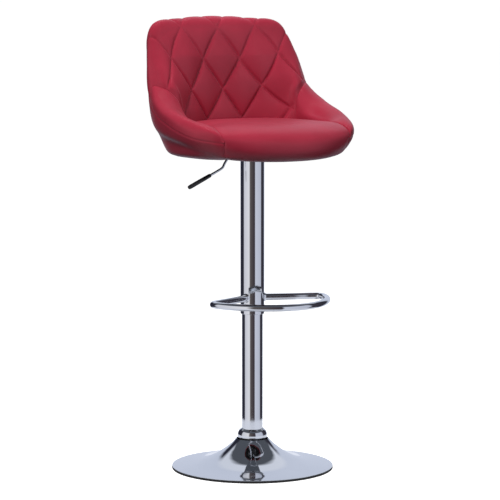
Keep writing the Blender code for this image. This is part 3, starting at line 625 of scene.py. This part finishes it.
def camera():
    """Long lens, from the sitter's front right."""
    data = bpy.data.cameras.new("camera")
    data.lens = LENS
    data.sensor_width = 36.0
    obj = bpy.data.objects.new("camera", data)
    yaw = math.radians(CAMERA_YAW)
    obj.location = (-math.sin(yaw) * CAMERA_REACH, -math.cos(yaw) * CAMERA_REACH, CAMERA_Z)
    obj.rotation_euler = (math.radians(90 - CAMERA_PITCH), 0, math.radians(-CAMERA_YAW + AIM_LEFT))
    bpy.context.scene.collection.objects.link(obj)
    bpy.context.scene.camera = obj


def direction_split(tree):
    """The world's view direction, turned so that -Y points to the camera's side."""
    coords = tree.nodes.new("ShaderNodeTexCoord")
    turn = tree.nodes.new("ShaderNodeVectorRotate")
    turn.rotation_type = "Z_AXIS"
    turn.inputs["Angle"].default_value = math.radians(CAMERA_YAW)
    tree.links.new(coords.outputs["Generated"], turn.inputs["Vector"])
    split = tree.nodes.new("ShaderNodeSeparateXYZ")
    tree.links.new(turn.outputs["Vector"], split.inputs["Vector"])
    return split


def math_node(tree, operation, first, second, third=0.5):
    """A Math node on values or sockets."""
    node = tree.nodes.new("ShaderNodeMath")
    node.operation = operation
    for socket, value in zip(node.inputs, (first, second, third)):
        if isinstance(value, (int, float)):
            socket.default_value = value
        else:
            tree.links.new(value, socket)
    return node.outputs["Value"]


def mix_color(tree, factor, first, second):
    """Mix two colours or sockets."""
    node = tree.nodes.new("ShaderNodeMix")
    node.data_type = "RGBA"
    tree.links.new(factor, node.inputs["Factor"])
    for socket, value in ((node.inputs[6], first), (node.inputs[7], second)):
        if isinstance(value, tuple):
            socket.default_value = value
        else:
            tree.links.new(value, socket)
    return node.outputs[2]


def studio_world():
    """White for the camera, soft grey light for surfaces, and card and flag bands for reflections."""
    world = bpy.data.worlds.new("studio")
    world.use_nodes = True
    tree = world.node_tree
    split = direction_split(tree)
    back = math_node(tree, "MULTIPLY", split.outputs["Y"], -1.0)
    angle = math_node(tree, "ARCTAN2", split.outputs["X"], back)
    turn = math_node(tree, "MULTIPLY_ADD", angle, 0.5 / math.pi)
    # the camera's side is at a half, the sitter's right of it below and left of it above
    bands = ramp(tree, turn, [
        (0.000, (0.62, 0.67, 0.80)), (0.060, (0.62, 0.67, 0.80)), (0.075, (0.022, 0.024, 0.04)),
        (0.240, (0.03, 0.03, 0.045)), (0.262, (0.70, 0.71, 0.78)), (0.415, (0.86, 0.86, 0.90)),
        (0.440, (0.12, 0.105, 0.105)), (0.565, (0.045, 0.035, 0.045)), (0.580, (0.66, 0.69, 0.80)),
        (0.745, (0.56, 0.59, 0.70)), (0.765, (0.05, 0.045, 0.06)), (0.900, (0.03, 0.03, 0.045)),
        (0.920, (0.62, 0.67, 0.80)), (1.000, (0.62, 0.67, 0.80))])
    above = ramp(tree, math_node(tree, "MULTIPLY_ADD", split.outputs["Y"], 0.5),
                 [(0.74, (0.085, 0.095, 0.115)), (0.79, (0.72, 0.76, 0.86))])
    high = ramp(tree, split.outputs["Z"], [(0.54, (0, 0, 0)), (0.64, (1, 1, 1))])
    mirror = mix_color(tree, high, bands, above)
    path = tree.nodes.new("ShaderNodeLightPath")
    soft = ramp(tree, math_node(tree, "MULTIPLY_ADD", split.outputs["Z"], 0.5),
                [(0.30, (LOW_AMBIENT,) * 3), (0.75, (AMBIENT,) * 3)])
    seen = mix_color(tree, path.outputs["Is Glossy Ray"], soft, mirror)
    seen = mix_color(tree, path.outputs["Is Camera Ray"], seen, (1.0, 1.0, 1.0, 1.0))
    tree.links.new(seen, tree.nodes["Background"].inputs["Color"])
    bpy.context.scene.world = world


def area(name, location, size, power, target=(0, 0, 0.8)):
    """A round soft light that is left out of reflections."""
    data = bpy.data.lights.new(name, "AREA")
    data.shape = "DISK"
    data.size = size
    data.energy = power
    obj = bpy.data.objects.new(name, data)
    obj.location = location
    obj.rotation_euler = (Vector(target) - Vector(location)).to_track_quat("-Z", "Y").to_euler()
    obj.visible_glossy = False
    bpy.context.scene.collection.objects.link(obj)


def disc(name, radius, height, mat, segments=96):
    """A flat round sheet."""
    angles = [2 * math.pi * i / segments for i in range(segments)]
    verts = [(radius * math.cos(angle), radius * math.sin(angle), height) for angle in angles]
    return mesh_object(name, verts, [tuple(range(segments))], mat)


def studio():
    """White room, pale floor, a glowing sheet for reflections, and three soft lights."""
    studio_world()
    bpy.context.scene.view_settings.view_transform = "Standard"
    mat, shader, tree = new_material("pale_floor")
    color = ramp(tree, noise(tree, 2.0, 2.0), [(0.3, (0.90, 0.90, 0.90)), (0.7, (0.92, 0.92, 0.92))])
    tree.links.new(color, shader.inputs["Base Color"])
    shader.inputs["Roughness"].default_value = 0.9
    shader.inputs["Specular IOR Level"].default_value = 0.0
    shader.inputs["Emission Color"].default_value = (1.0, 1.0, 1.0, 1.0)
    shader.inputs["Emission Strength"].default_value = 0.72
    floor = disc("floor", 200.0, 0.0, mat)
    floor.visible_glossy = False
    floor.visible_diffuse = False
    glow, shader, _ = new_material("paper")
    shader.inputs["Base Color"].default_value = (0, 0, 0, 1)
    shader.inputs["Emission Color"].default_value = (0.70, 0.73, 0.82, 1)
    shader.inputs["Emission Strength"].default_value = 1.0
    paper = disc("paper_under_the_base", 0.65, -0.0005, glow)
    paper.visible_camera = False
    paper.visible_diffuse = False
    area("key", (-2.4, -1.2, 3.0), 0.9, 76)
    area("fill", (0.6, -2.7, 2.8), 1.2, 24)
    area("overhead", (0.2, 0.5, 3.4), 0.9, 44)


camera()
dress_cad_nodes()
chrome_base()
chrome_sleeve()
chrome_footrest()
lever()
back_pad()
bolster("right", 0.0, KNEE)
bolster("left", END - KNEE, END)
outer_panel()
cushion()
studio()
